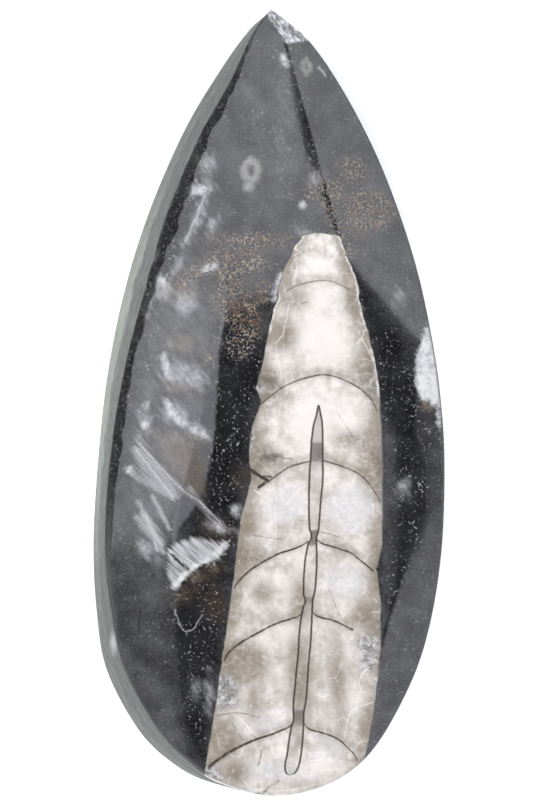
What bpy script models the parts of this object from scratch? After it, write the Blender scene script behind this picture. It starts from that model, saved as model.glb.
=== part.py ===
"""Polished orthoceras fossil: a drop-shaped black limestone with one calcite-filled shell in its face.

The stone lies on its sawn back. +Z is up, out of the polished face, and +Y runs from the round end to the
point. The origin is on the back, under the middle of the stone. Lengths are in millimetres until they reach
a mesh.
"""

import math

import bmesh
import bpy
from mathutils import Vector

MM = 0.001

# Driving sizes of the stone.
CROWN_HEIGHT = 18.0  # from the sawn back to the flat crown of the polished face
CHAMFER_SLOPE = 38.0  # of the narrow band ground between the wall and the face, in degrees
FOOT_ROUND = 1.0  # rounding between the wall and the sawn back
OUTLINE_STEPS = 6  # short straight runs from one outline point to the next
FOOT_STEPS = 3  # short straight runs round the foot
FACE_RINGS = 15  # rings of points between the chamfer and the middle line of the face
SPINE_SHARE = 0.86  # length of the middle line that the face's rings close in on, as a share of the stone's

# Foot of the wall, seen from above: x, y, how far the wall has leaned in at the rim, and the chamfer's width
# there. It starts at the point and runs down the right side, round the base and up the left side.
OUTLINE = (
    (0.4, 50.0, 0.2, 0.3),
    (5.0, 46.1, 0.1, 0.2),
    (9.2, 40.0, 0.0, 0.2),
    (13.3, 32.3, 0.0, 0.2),
    (16.4, 24.6, 0.0, 0.2),
    (18.8, 17.0, 0.0, 0.2),
    (20.5, 9.3, 0.0, 0.2),
    (21.7, 1.6, 0.0, 0.2),
    (22.3, -7.4, 0.0, 0.2),
    (21.9, -18.9, 0.0, 0.2),
    (20.2, -29.1, 0.0, 0.2),
    (17.5, -36.8, 0.1, 0.2),
    (12.9, -44.5, 0.2, 0.3),
    (7.2, -48.6, 0.3, 0.5),
    (0.0, -50.0, 0.4, 0.6),
    (-7.2, -48.6, 1.2, 0.5),
    (-11.9, -46.3, 2.1, 0.4),
    (-16.5, -41.9, 2.5, 0.3),
    (-20.6, -34.2, 2.5, 0.3),
    (-21.9, -26.6, 2.1, 0.5),
    (-22.3, -17.6, 1.7, 1.0),
    (-21.6, -6.1, 1.7, 1.4),
    (-20.4, 4.2, 2.2, 1.2),
    (-18.3, 14.4, 2.6, 1.3),
    (-15.1, 24.6, 2.3, 1.8),
    (-10.6, 34.9, 2.2, 1.4),
    (-6.0, 42.6, 2.1, 1.1),
    (-2.3, 47.7, 1.1, 0.6),
)

# Ground facets of the face: a place in the facet, its height there, how many millimetres it falls for each
# millimetre towards +X and +Y, how softly its crease is rounded, and how much it bows up along the stone for
# each square millimetre. The crown is the level facet at CROWN_HEIGHT.
LEFT_FLANK = ((-5.3, 10.5), 18.0, (-0.224, 0.057), 0.08, 0.0)
UPPER_CROWN = ((0.0, 12.5), 18.0, (-0.012, 0.080), 0.12, 0.0)
UPPER_RIDGE = ((5.0, 33.0), 16.32, (0.099, 0.110), 0.02, 0.0009)
UPPER_RIGHT_FLANK = ((5.8, 33.0), 16.24, (0.340, 0.177), 0.05, 0.0009)
RIGHT_CHEEK = ((12.6, 14.0), 17.41, (0.165, 0.058), 0.10, 0.0)
RIGHT_SHOULDER = ((14.2, -9.0), 18.0, (0.105, 0.0), 0.03, 0.0)
RIGHT_TURN = ((16.9, -10.5), 17.73, (0.190, 0.0), 0.04, 0.0)
RIGHT_EDGE_UPPER = ((18.8, -3.4), 17.37, (0.331, 0.050), 0.03, 0.0)
RIGHT_EDGE = ((20.3, -10.0), 17.08, (0.400, 0.0), 0.03, 0.0)
LOWER_LEFT_FLANK = ((-12.0, -20.0), 18.0, (-0.210, -0.010), 0.12, 0.0)
LOWER_LEFT_EDGE = ((-16.5, -28.0), 17.85, (-0.290, -0.120), 0.20, 0.0)
LEFT_FOOT = ((-10.5, -44.0), 18.0, (-0.120, -0.220), 0.15, 0.0)
LOWER_RIGHT_FLANK = ((15.0, -24.0), 18.25, (0.324, -0.067), 0.05, 0.0)
FACETS = (
    LEFT_FLANK,
    UPPER_CROWN,
    UPPER_RIDGE,
    UPPER_RIGHT_FLANK,
    RIGHT_CHEEK,
    RIGHT_SHOULDER,
    RIGHT_TURN,
    RIGHT_EDGE_UPPER,
    RIGHT_EDGE,
    LOWER_LEFT_FLANK,
    LOWER_LEFT_EDGE,
    LEFT_FOOT,
    LOWER_RIGHT_FLANK,
)

# The corner broken out beside the point: two steep planes, written like the facets, that meet in a valley.
CHIP = (
    ((2.6, 45.8), 14.95, (0.73, 0.59), 0.0, 0.0),
    ((2.6, 45.8), 14.8, (0.04, 1.03), 0.0, 0.0),
)

# The shell, seen from above: left edge, right edge and y of each station, from its broken tip down.
SHELL_STATIONS = (
    (5.0, 8.2, 21.3),
    (3.8, 9.5, 20.2),
    (2.6, 10.3, 18.0),
    (1.6, 11.2, 15.6),
    (1.3, 11.6, 13.1),
    (0.4, 12.1, 10.5),
    (-0.7, 13.3, 5.4),
    (-1.5, 14.0, 1.8),
    (-1.2, 14.1, -0.9),
    (-2.3, 14.3, -4.8),
    (-2.2, 14.4, -9.0),
    (-3.8, 14.4, -17.6),
    (-4.6, 13.9, -22.6),
    (-5.6, 14.2, -31.0),
    (-6.4, 13.6, -37.0),
    (-7.5, 12.6, -43.4),
    (-8.4, 11.1, -49.4),
    (-9.0, 10.2, -53.0),
)
SHELL_DEPTH_SHARE = 0.43  # depth of the shell below its shoulder, as a share of its width
SHELL_SHOULDER = 16.0  # above this height the sides of the shell's blank stand straight
SHELL_BLANK_TOP = 21.0
SHELL_ARC_STEPS = 12
SHELL_STATION_STEPS = 2
POCKET_GAP = 0.3  # clear space between the shell and the limestone round it

WELD = 0.01  # points closer than this become one
SHARP_ANGLE = 15.0  # edges that turn by more degrees than this stay crisp

LIMESTONE_COLOUR = (0.030, 0.031, 0.034, 1.0)
CALCITE_COLOUR = (0.72, 0.67, 0.60, 1.0)
POLISHED_ROUGHNESS = 0.2


def clear_scene():
    for thing in list(bpy.data.objects):
        bpy.data.objects.remove(thing)


def smooth_run(points, steps):
    """Points of a smooth curve through the given ones, with a corner at each end."""
    knots = [Vector(p) for p in points]
    run = []
    for i in range(len(knots) - 1):
        before, here, there = knots[max(i - 1, 0)], knots[i], knots[i + 1]
        after = knots[min(i + 2, len(knots) - 1)]
        leaving, arriving = (there - before) / 2, (after - here) / 2
        for step in range(steps):
            t = step / steps
            bend = leaving * (t * (1 - t) ** 2) - arriving * (t * t * (1 - t))
            run.append(here + (there - here) * (t * t * (3 - 2 * t)) + bend)
    return run + [knots[-1]]


def facet_height(facet, x, y):
    (px, py), height, (fall_x, fall_y), _, bow = facet
    return height - (x - px) * fall_x - (y - py) * fall_y + bow * (y - py) ** 2


def softly_lower(height, other, crease):
    """The lower of two heights, rounded off where they are about the same."""
    apart = abs(height - other) / crease
    return min(height, other) - crease * math.log(1 + math.exp(-apart))


def face_height(x, y):
    """Height of the polished face: the lowest of the crown and the facets, less the broken corner."""
    height = CROWN_HEIGHT
    for facet in FACETS:
        height = softly_lower(height, facet_height(facet, x, y), facet[3])
    return min(height, max(facet_height(plane, x, y) for plane in CHIP))


def spine_of(foot):
    """For each outline point, the point of the middle line that it shares with the one across from it."""
    return [Vector((0.0, SPINE_SHARE * (p.y + foot[-i].y) / 2)) for i, p in enumerate(foot)]


def moved_in(points, spine, distances):
    """The points, each moved by its distance towards its point of the middle line."""
    return [p + (middle - p).normalized() * d for p, middle, d in zip(points, spine, distances)]


def stone_rings():
    """Rings of points round the foot, up the wall, over the chamfer and in to the middle line."""
    outline = smooth_run(OUTLINE + OUTLINE[:1], OUTLINE_STEPS)[:-1]
    foot = [Vector((p[0], p[1])) for p in outline]
    spine = spine_of(foot)
    rings = []
    for step in range(FOOT_STEPS + 1):
        turn = math.radians(90) * step / FOOT_STEPS
        inset = FOOT_ROUND * (1 - math.sin(turn))
        z = FOOT_ROUND * (1 - math.cos(turn))
        rings.append([(p.x, p.y, z) for p in moved_in(foot, spine, [inset] * len(foot))])
    chamfer_drop = math.tan(math.radians(CHAMFER_SLOPE))
    rim = moved_in(foot, spine, [p[2] for p in outline])
    inner = moved_in(foot, spine, [p[2] + p[3] for p in outline])
    rim_height = [face_height(p.x, p.y) - q[3] * chamfer_drop for p, q in zip(inner, outline)]
    rings.append([(p.x, p.y, z) for p, z in zip(rim, rim_height)])
    for step in range(FACE_RINGS + 1):
        ring = [p.lerp(middle, step / FACE_RINGS) for p, middle in zip(inner, spine)]
        rings.append([(p.x, p.y, face_height(p.x, p.y)) for p in ring])
    return rings


def loft(rings):
    """Bridges rings of points, in millimetres, and gives back the new bmesh and each ring's edges."""
    bm = bmesh.new()
    loops = []
    for ring in rings:
        verts = [bm.verts.new(Vector(p) * MM) for p in ring]
        loops.append([bm.edges.new((verts[i - 1], verts[i])) for i in range(len(verts))])
    for lower, upper in zip(loops, loops[1:]):
        bmesh.ops.bridge_loops(bm, edges=lower + upper)
    return bm, loops


def finished(bm, name):
    """Welds and closes the edit, and gives back a mesh with smooth faces and sharp corners."""
    bmesh.ops.remove_doubles(bm, verts=bm.verts, dist=WELD * MM)
    bmesh.ops.recalc_face_normals(bm, faces=bm.faces)
    mesh = bpy.data.meshes.new(name)
    bm.to_mesh(mesh)
    bm.free()
    mesh.shade_smooth()
    mesh.set_sharp_from_angle(angle=math.radians(SHARP_ANGLE))
    return mesh


def ground_stone_mesh():
    """The whole polished stone, with the shell still part of it. Its last ring folds flat and welds shut."""
    bm, loops = loft(stone_rings())
    bmesh.ops.contextual_create(bm, geom=loops[0])
    return finished(bm, "ground_stone")


def shell_section(left, right, y, extra):
    """One cross-section of the shell: straight sides above, half an ellipse below, grown by extra all round."""
    middle = (left + right) / 2
    half_width = (right - left) / 2 + extra
    depth = SHELL_DEPTH_SHARE * (right - left) + extra
    turns = [math.pi * i / SHELL_ARC_STEPS for i in range(SHELL_ARC_STEPS + 1)]
    arc = [(middle + half_width * math.cos(t), y, SHELL_SHOULDER - depth * math.sin(t)) for t in turns]
    top_right = (middle + half_width, y, SHELL_BLANK_TOP)
    top_left = (middle - half_width, y, SHELL_BLANK_TOP)
    return [top_right, *arc, top_left]


def shell_blank_mesh(name, extra):
    """The shell's cone as a trough-shaped solid that reaches above the face and past the round end."""
    stations = smooth_run(SHELL_STATIONS, SHELL_STATION_STEPS)
    stations[0].z += extra
    bm, loops = loft([shell_section(*station, extra) for station in stations])
    for end in (loops[0], loops[-1]):
        bmesh.ops.contextual_create(bm, geom=end)
    return finished(bm, name)


def stone_material(name, colour):
    material = bpy.data.materials.new(name)
    material.use_nodes = True
    shader = material.node_tree.nodes["Principled BSDF"]
    shader.inputs["Base Color"].default_value = colour
    shader.inputs["Roughness"].default_value = POLISHED_ROUGHNESS
    shader.inputs["Metallic"].default_value = 0.0
    return material


def add_node(name, mesh, material):
    node = bpy.data.objects.new(name, mesh)
    bpy.context.scene.collection.objects.link(node)
    mesh.materials.append(material)
    return node


def add_helper(name, mesh):
    helper = bpy.data.objects.new(name, mesh)
    bpy.context.scene.collection.objects.link(helper)
    helper.hide_render = True
    helper.display_type = "WIRE"
    return helper


def add_boolean(node, operation, other):
    boolean = node.modifiers.new(operation.title(), "BOOLEAN")
    boolean.operation = operation
    boolean.solver = "EXACT"
    boolean.object = other


def build():
    clear_scene()
    stone = ground_stone_mesh()
    whole_stone = add_helper("whole_stone_guide", stone.copy())
    pocket = add_helper("shell_pocket_cutter", shell_blank_mesh("shell_pocket", POCKET_GAP))

    limestone = stone_material("black_limestone", LIMESTONE_COLOUR)
    matrix = add_node("limestone_matrix", stone, limestone)
    add_boolean(matrix, "DIFFERENCE", pocket)

    calcite = stone_material("shell_calcite", CALCITE_COLOUR)
    shell = add_node("orthoceras_shell", shell_blank_mesh("shell_blank", 0.0), calcite)
    add_boolean(shell, "INTERSECT", whole_stone)


build()
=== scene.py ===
"""Looks of a polished orthoceras fossil: a drop of black limestone with one calcite-filled shell in its face.

The stone lies on its sawn back. +Z points out of the polished face and +Y from the round end to the point.
Sizes are millimetres until a mesh or a lamp takes them, and MM turns them into metres.
"""

import logging
import math
from dataclasses import dataclass
from enum import Enum
from functools import reduce

import bmesh
import bpy
import numpy as np
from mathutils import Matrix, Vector, noise


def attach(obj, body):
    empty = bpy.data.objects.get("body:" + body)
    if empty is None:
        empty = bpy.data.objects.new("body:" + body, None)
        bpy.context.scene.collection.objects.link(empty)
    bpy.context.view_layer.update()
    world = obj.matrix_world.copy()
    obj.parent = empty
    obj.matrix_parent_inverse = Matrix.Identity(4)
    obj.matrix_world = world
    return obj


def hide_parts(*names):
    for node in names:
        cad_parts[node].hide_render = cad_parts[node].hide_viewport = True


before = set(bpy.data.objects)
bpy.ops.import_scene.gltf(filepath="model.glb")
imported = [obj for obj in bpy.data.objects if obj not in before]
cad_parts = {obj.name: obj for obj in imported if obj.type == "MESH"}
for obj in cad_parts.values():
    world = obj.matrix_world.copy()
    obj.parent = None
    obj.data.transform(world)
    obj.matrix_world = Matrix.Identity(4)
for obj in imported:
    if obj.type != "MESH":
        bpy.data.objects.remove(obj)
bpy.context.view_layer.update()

MM = 0.001
FAR_OUTSIDE = 4.0  # depth stored where no spot of a layer is near, in millimetres
WELD = 0.001 * MM
LOG = logging.getLogger("orthoceras")

Colour = tuple[float, float, float]
Points = list[Vector]


# ---------------------------------------------------------------- shape


def select_nothing() -> None:
    """Leaves object mode clean, with nothing selected."""
    if bpy.context.object and bpy.context.object.mode != "OBJECT":
        bpy.ops.object.mode_set(mode="OBJECT")
    bpy.ops.object.select_all(action="DESELECT")


def smooth_run(points: tuple, steps: int) -> Points:
    """Draws a smooth curve through points, with a corner at each end.

    Args:
        points: the points that the curve passes.
        steps: short straight runs from one point to the next.

    Returns:
        The points along the curve, ends included.
    """
    knots = [Vector(p) for p in points]
    run = []
    for i in range(len(knots) - 1):
        before, here, there = knots[max(i - 1, 0)], knots[i], knots[i + 1]
        after = knots[min(i + 2, len(knots) - 1)]
        leaving, arriving = (there - before) / 2, (after - here) / 2
        for step in range(steps):
            t = step / steps
            bend = leaving * (t * (1 - t) ** 2) - arriving * (t * t * (1 - t))
            run.append(here + (there - here) * (t * t * (3 - 2 * t)) + bend)
    return run + [knots[-1]]


@dataclass(frozen=True)
class Facet:
    """One ground plane of the face: its height at a place, and how steeply it falls towards +X and +Y."""

    place: tuple[float, float]
    at_place: float
    fall: tuple[float, float]
    crease: float = 0.03
    bow: float = 0.0

    def height(self, x: float, y: float) -> float:
        """Gives the height of the plane at a place, all in millimetres."""
        across, along = x - self.place[0], y - self.place[1]
        return self.at_place - across * self.fall[0] - along * self.fall[1] + self.bow * along * along


@dataclass(frozen=True)
class StoneForm:
    """The drop-shaped stone, given by its foot outline, its wall and the facets of its face."""

    crown: float = 18.0
    foot_round: float = 1.0
    chamfer_slope: float = 38.0
    spine_share: float = 0.86
    wobble: float = 0.02
    grinding: float = 0.3
    # x, y, lean of the wall at the rim, and width of the chamfer between wall and face
    outline: tuple = (
        (0.4, 50.0, 0.2, 0.3),
        (5.0, 46.1, 0.1, 0.2),
        (9.2, 40.0, 0.0, 0.2),
        (13.3, 32.3, 0.0, 0.2),
        (16.4, 24.6, 0.0, 0.2),
        (18.8, 17.0, 0.0, 0.2),
        (20.5, 9.3, 0.0, 0.2),
        (21.7, 1.6, 0.0, 0.2),
        (22.3, -7.4, 0.0, 0.2),
        (21.9, -18.9, 0.0, 0.2),
        (20.2, -29.1, 0.0, 0.2),
        (17.5, -36.8, 0.1, 0.2),
        (12.9, -44.5, 0.2, 0.3),
        (7.2, -48.6, 0.3, 0.5),
        (0.0, -50.0, 0.4, 0.6),
        (-7.2, -48.6, 1.2, 0.5),
        (-11.9, -46.3, 2.1, 0.4),
        (-16.5, -41.9, 2.5, 0.3),
        (-20.6, -34.2, 2.5, 0.3),
        (-21.9, -26.6, 2.1, 0.5),
        (-22.3, -17.6, 1.7, 1.0),
        (-21.6, -6.1, 1.7, 1.4),
        (-20.4, 4.2, 2.2, 1.2),
        (-18.3, 14.4, 2.6, 1.3),
        (-15.1, 24.6, 2.3, 1.8),
        (-10.6, 34.9, 2.2, 1.4),
        (-6.0, 42.6, 2.1, 1.1),
        (-2.3, 47.7, 1.1, 0.6),
    )
    facets: tuple[Facet, ...] = (
        Facet((-5.3, 10.5), 18.0, (-0.224, 0.057), 0.08),
        Facet((0.0, 12.5), 18.0, (-0.012, 0.080), 0.12),
        Facet((5.0, 33.0), 16.32, (0.099, 0.110), 0.02, 0.0009),
        Facet((5.8, 33.0), 16.24, (0.340, 0.177), 0.038, 0.0009),
        Facet((12.6, 14.0), 17.41, (0.165, 0.058), 0.10),
        Facet((14.2, -9.0), 18.0, (0.105, 0.0)),
        Facet((16.9, -10.5), 17.73, (0.190, 0.0), 0.04),
        Facet((18.8, -3.4), 17.37, (0.331, 0.050)),
        Facet((20.3, -10.0), 17.08, (0.400, 0.0)),
        Facet((-12.0, -20.0), 18.0, (-0.210, -0.010), 0.12),
        Facet((-16.5, -28.0), 17.85, (-0.290, -0.120), 0.20),
        Facet((-10.5, -44.0), 18.0, (-0.120, -0.220), 0.15),
        Facet((15.0, -24.0), 18.25, (0.324, -0.067), 0.05),
    )
    # a corner broken out beside the point: two steep planes that meet in an inner corner
    chip: tuple[Facet, Facet] = (
        Facet((2.6, 45.8), 14.95, (0.73, 0.59)),
        Facet((2.6, 45.8), 14.8, (0.04, 1.03)),
    )
    chip_rough: float = 0.22
    # where the rings lie: degrees round the foot, and shares of the way up the wall and over the chamfer
    foot_turns: tuple = (0, 30, 60, 90)
    wall_shares: tuple = (0.2, 0.4, 0.6, 0.8, 0.94)
    chamfer_shares: tuple = (0.06, 0.2, 0.4, 0.6, 0.8, 0.94)

    def ground_height(self, x: float, y: float) -> float:
        """Gives the height of the ground face, the lowest of its facets with soft creases between them.

        Args:
            x: millimetres to the right.
            y: millimetres towards the point.

        Returns:
            Height in millimetres.
        """
        height = self.crown
        for facet in self.facets:
            other = facet.height(x, y)
            lowest = min(height, other)
            both = math.exp((lowest - height) / facet.crease) + math.exp((lowest - other) / facet.crease)
            height = lowest - facet.crease * math.log(both)
        return height + self.wobble * noise.noise(Vector((x * 0.12, y * 0.12, 3.0)))

    def chip_height(self, x: float, y: float) -> float:
        """Gives the height of the broken corner, above the ground face wherever nothing is broken away."""
        crumble = noise.fractal(Vector((x, y, 7.0)) * 1.3, 1.0, 2.0, 3)
        return max(facet.height(x, y) for facet in self.chip) + self.chip_rough * crumble

    def face_height(self, x: float, y: float) -> float:
        """Gives the height of the face, with its corner broken away, all in millimetres."""
        return min(self.ground_height(x, y), self.chip_height(x, y))

    def rings(self, steps: int, face_rings: int) -> list[Points]:
        """Lists the rings of points round the foot, up the wall, over the chamfer and in across the face.

        Args:
            steps: short straight runs from one outline point to the next.
            face_rings: rings between the chamfer and the middle line of the face.

        Returns:
            The rings in millimetres, each with as many points. The last lies folded on the middle line.
        """
        outline = smooth_run(self.outline + self.outline[:1], steps)[:-1]
        foot = [Vector((p[0], p[1])) for p in outline]
        spine = [Vector((0.0, self.spine_share * (p.y + foot[-i].y) / 2)) for i, p in enumerate(foot)]
        inward = [(middle - p).normalized() for p, middle in zip(foot, spine)]
        rings = []
        for turn in self.foot_turns:
            inset = self.foot_round * (1 - math.sin(math.radians(turn)))
            z = self.foot_round * (1 - math.cos(math.radians(turn)))
            rings.append([Vector((*(p + d * inset), z)) for p, d in zip(foot, inward)])
        rim = [p + d * q[2] for p, d, q in zip(foot, inward, outline)]
        drop = math.tan(math.radians(self.chamfer_slope))
        uneven = [noise.fractal(Vector((*p, 5.0)) * 0.5, 1.0, 2.0, 3) for p in foot]
        chamfer = [q[3] * (1 + self.grinding * wave) for q, wave in zip(outline, uneven)]
        edge = [p + d * c for p, d, c in zip(rim, inward, chamfer)]
        shoulder = [self.face_height(*p) - c * drop for p, c in zip(edge, chamfer)]
        for share in self.wall_shares:
            ring = [p.lerp(q, share) for p, q in zip(foot, rim)]
            rings.append([Vector((*p, h * share)) for p, h in zip(ring, shoulder)])
        for share in self.chamfer_shares:
            ring = [p.lerp(q, share) for p, q in zip(rim, edge)]
            rise = [h + share * c * drop for h, c in zip(shoulder, chamfer)]
            rings.append([Vector((*p, h)) for p, h in zip(ring, rise)])
        for step in range(1, face_rings + 1):
            share = step / face_rings
            ring = [p.lerp(middle, share) for p, middle in zip(edge, spine)]
            rings.append([Vector((*p, self.face_height(*p))) for p in ring])
        return rings


@dataclass(frozen=True)
class ShellForm:
    """The straight shell, given by its two edges in the face and the depth of its buried side."""

    depth_share: float = 0.43
    shoulder: float = 16.0
    top: float = 21.0
    arc_steps: int = 12
    ragged: float = 0.1
    tip_ragged: float = 0.32
    tip_from: float = 8.0
    tip_length: float = 12.0
    tip_overlap: float = 0.02
    least_half_width: float = 0.2
    # x, y down each edge, from the broken tip to beyond the round end
    left_edge: tuple = (
        (6.2, 21.4), (4.9, 21.3), (4.4, 20.9), (3.9, 20.3), (3.4, 19.4), (2.6, 18.0), (2.2, 17.2),
        (1.7, 15.9), (1.4, 14.7), (1.3, 13.1), (0.9, 12.1), (0.4, 10.5), (0.0, 8.6), (-0.6, 5.4),
        (-1.0, 3.9), (-1.5, 1.8), (-0.9, 0.2), (-1.2, -0.9), (-2.0, -2.9), (-2.3, -4.8), (-2.4, -6.7),
        (-2.3, -8.4), (-2.1, -9.6), (-2.6, -11.6), (-3.4, -14.4), (-3.8, -17.6), (-4.2, -21.4),
        (-4.6, -24.0), (-5.0, -27.2), (-5.6, -31.0), (-6.4, -36.8), (-7.2, -41.9), (-7.9, -46.0),
        (-8.6, -50.0), (-9.0, -53.0),
    )
    right_edge: tuple = (
        (6.2, 21.4), (8.3, 21.2), (9.0, 20.8), (9.5, 20.0), (9.9, 18.8), (10.4, 17.7), (10.9, 16.6),
        (11.2, 15.3), (11.5, 13.1), (12.0, 10.8), (12.6, 9.0), (13.1, 6.7), (13.7, 4.2), (14.0, 1.6),
        (14.1, -0.7), (14.3, -3.8), (14.4, -8.0), (14.4, -18.0), (14.0, -20.0), (13.6, -20.9),
        (13.9, -22.1), (14.2, -25.3), (14.2, -30.0), (14.0, -33.0), (13.6, -37.0), (13.0, -41.0),
        (12.1, -45.4), (10.9, -50.0), (10.2, -53.0),
    )

    def edge_x(self, edge: tuple, y: float) -> float:
        """Reads an edge's place across the face.

        Args:
            edge: one of the two edges.
            y: how far along the stone, in millimetres.

        Returns:
            x of the edge there, in millimetres.
        """
        ys = [-p[1] for p in edge]
        nibble = noise.fractal(Vector((edge[1][0], y * 0.8, 2.0)), 1.0, 2.0, 3)
        ragged = self.ragged + self.tip_ragged * min(max((y - self.tip_from) / self.tip_length, 0.0), 1.0)
        return float(np.interp(-y, ys, [p[0] for p in edge])) + ragged * nibble

    def sections(self, spacing: float) -> list[Points]:
        """Lists cross-sections of the cone: straight sides above its shoulder, half an ellipse below.

        Args:
            spacing: millimetres between sections.

        Returns:
            The sections from the broken tip to beyond the round end, each with as many points.
        """
        tip, end = self.left_edge[0][1], self.left_edge[-1][1]
        count = round((tip - end) / spacing)
        rings = []
        for i in range(count + 1):
            y = tip + (end - tip) * i / count - (0.0 if i else self.tip_overlap)
            left, right = self.edge_x(self.left_edge, y), self.edge_x(self.right_edge, y)
            middle, half_width = (left + right) / 2, max((right - left) / 2, self.least_half_width)
            depth = self.depth_share * 2 * half_width
            turns = [math.pi * k / self.arc_steps for k in range(self.arc_steps + 1)]
            arc = [(middle + half_width * math.cos(t), self.shoulder - depth * math.sin(t)) for t in turns]
            ring = [(middle + half_width, self.top), *arc, (middle - half_width, self.top)]
            rings.append([Vector((x, y, z)) for x, z in ring])
        return rings


def loft(name: str, rings: list[Points]) -> bpy.types.Object:
    """Extrudes a circle from ring to ring into one skin.

    Args:
        name: name of the new piece.
        rings: rings of points in millimetres, each with as many points.

    Returns:
        The piece, still in edit mode, with its first ring filled; close_skin welds its doubles and turns its
        faces outwards.
    """
    select_nothing()
    bpy.ops.mesh.primitive_circle_add(vertices=len(rings[0]), radius=MM)
    piece = bpy.context.object
    piece.name = piece.data.name = name
    bpy.ops.object.mode_set(mode="EDIT")
    bpy.ops.mesh.select_mode(type="EDGE")
    bpy.ops.mesh.select_all(action="SELECT")
    station = bmesh.from_edit_mesh(piece.data).verts.layers.int.new("station")
    for i, vert in enumerate(bmesh.from_edit_mesh(piece.data).verts):
        vert[station] = i
    for number, ring in enumerate(rings):
        if number:
            bpy.ops.mesh.extrude_region_move()
        bm = bmesh.from_edit_mesh(piece.data)
        station = bm.verts.layers.int["station"]
        for vert in [v for v in bm.verts if v.select]:
            vert.co = ring[vert[station]] * MM
        if number == 0:
            bpy.ops.mesh.edge_face_add()
    return piece


def close_skin(piece: bpy.types.Object, cap_end: bool) -> None:
    """Finishes a loft that is still in edit mode.

    Args:
        piece: the lofted piece.
        cap_end: fills the last ring with a face.
    """
    if cap_end:
        bpy.ops.mesh.edge_face_add()
    bpy.ops.mesh.select_all(action="SELECT")
    bpy.ops.mesh.remove_doubles(threshold=WELD)
    bpy.ops.mesh.normals_make_consistent(inside=False)
    bpy.ops.object.mode_set(mode="OBJECT")
    piece.data.attributes.remove(piece.data.attributes["station"])


class Cut(Enum):
    """What a cut with another piece leaves of a piece."""

    SHARED = "INTERSECT"
    REST = "DIFFERENCE"


def make_active(piece: bpy.types.Object) -> None:
    """Selects one piece and nothing else."""
    select_nothing()
    bpy.context.view_layer.objects.active = piece
    piece.select_set(True)


def apply_boolean(piece: bpy.types.Object, cut: Cut, cutter: bpy.types.Object) -> None:
    """Cuts a piece with another and applies the cut.

    Args:
        piece: the piece that is kept.
        cut: what is left of it.
        cutter: the other piece.
    """
    make_active(piece)
    boolean = piece.modifiers.new("Cut", "BOOLEAN")
    boolean.operation = cut.value
    boolean.solver = "EXACT"
    boolean.object = cutter
    bpy.ops.object.modifier_apply(modifier=boolean.name)


# ---------------------------------------------------------------- painted layers

GRID = 0.128  # millimetres from one line of the drawing grid to the next
GRID_MIDDLE = (268.0, 402.5)  # column and row over the stone's middle; rows count down from the point


@dataclass(frozen=True)
class Patch:
    """One oval spot on the grid: its middle, its half sizes and its turn in degrees."""

    column: float
    row: float
    half_width: float
    half_height: float
    turn: float = 0.0

    def depth(self, columns: np.ndarray, rows: np.ndarray) -> np.ndarray:
        """Measures how deep inside the spot each place is.

        Args:
            columns: column of each place.
            rows: row of each place.

        Returns:
            Grid steps from the edge, below zero outside.
        """
        c, s = math.cos(math.radians(self.turn)), math.sin(math.radians(self.turn))
        right, up = columns - self.column, self.row - rows
        across = (c * right + s * up) / self.half_width
        along = (c * up - s * right) / self.half_height
        return (1 - np.hypot(across, along)) * min(self.half_width, self.half_height)


@dataclass(frozen=True)
class Trail:
    """One band on the grid along a line of places."""

    points: tuple
    half_width: float

    def depth(self, columns: np.ndarray, rows: np.ndarray) -> np.ndarray:
        """Measures how deep inside the band each place is.

        Args:
            columns: column of each place.
            rows: row of each place.

        Returns:
            Grid steps from the edge, below zero outside.
        """
        nearest = np.full(len(columns), np.inf)
        for (ax, ay), (bx, by) in zip(self.points, self.points[1:]):
            dx, dy = bx - ax, by - ay
            share = np.clip(((columns - ax) * dx + (rows - ay) * dy) / (dx * dx + dy * dy), 0, 1)
            nearest = np.minimum(nearest, np.hypot(columns - ax - share * dx, rows - ay - share * dy))
        return self.half_width - nearest


@dataclass(frozen=True)
class Area:
    """One part of the grid inside a closed line of places."""

    corners: tuple

    def depth(self, columns: np.ndarray, rows: np.ndarray) -> np.ndarray:
        """Measures how deep inside the area each place is.

        Args:
            columns: column of each place.
            rows: row of each place.

        Returns:
            Grid steps from the edge, below zero outside.
        """
        closed = self.corners + self.corners[:1]
        inside = np.zeros(len(columns), dtype=bool)
        for (ax, ay), (bx, by) in zip(closed, closed[1:]):
            spans = (ay > rows) != (by > rows)
            reach = ax + (rows - ay) * (bx - ax) / ((by - ay) or 1.0)
            inside ^= spans & (columns < reach)
        gap = -Trail(closed, 0.0).depth(columns, rows)
        return np.where(inside, gap, -gap)


def patches(*spots: tuple) -> tuple[Patch, ...]:
    """Makes a patch of each row of its numbers."""
    return tuple(Patch(*spot) for spot in spots)


def paint_layers(piece: bpy.types.Object, layers: dict[str, tuple]) -> None:
    """Stores, for each layer of spots, how many millimetres deep inside it each vertex is.

    Args:
        piece: the piece that gets the layers.
        layers: the spots of each layer, by its name.
    """
    places = vertex_places(piece) / GRID
    columns, rows = GRID_MIDDLE[0] + places[:, 0], GRID_MIDDLE[1] - places[:, 1]
    for name, spots in layers.items():
        depth = np.full(len(places), -FAR_OUTSIDE)
        for spot in spots:
            depth = np.maximum(depth, GRID * spot.depth(columns, rows))
        store_values(piece, name, depth)


def vertex_places(piece: bpy.types.Object) -> np.ndarray:
    """Reads where a piece's vertices are.

    Args:
        piece: the piece.

    Returns:
        One row of x, y and z in millimetres for each vertex.
    """
    places = np.empty(len(piece.data.vertices) * 3)
    piece.data.vertices.foreach_get("co", places)
    return places.reshape(-1, 3) / MM


def ramp(values: np.ndarray, start: float, end: float) -> np.ndarray:
    """Turns values into shares from 0 at start to 1 at end."""
    return np.clip((values - start) / (end - start), 0, 1)


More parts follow.
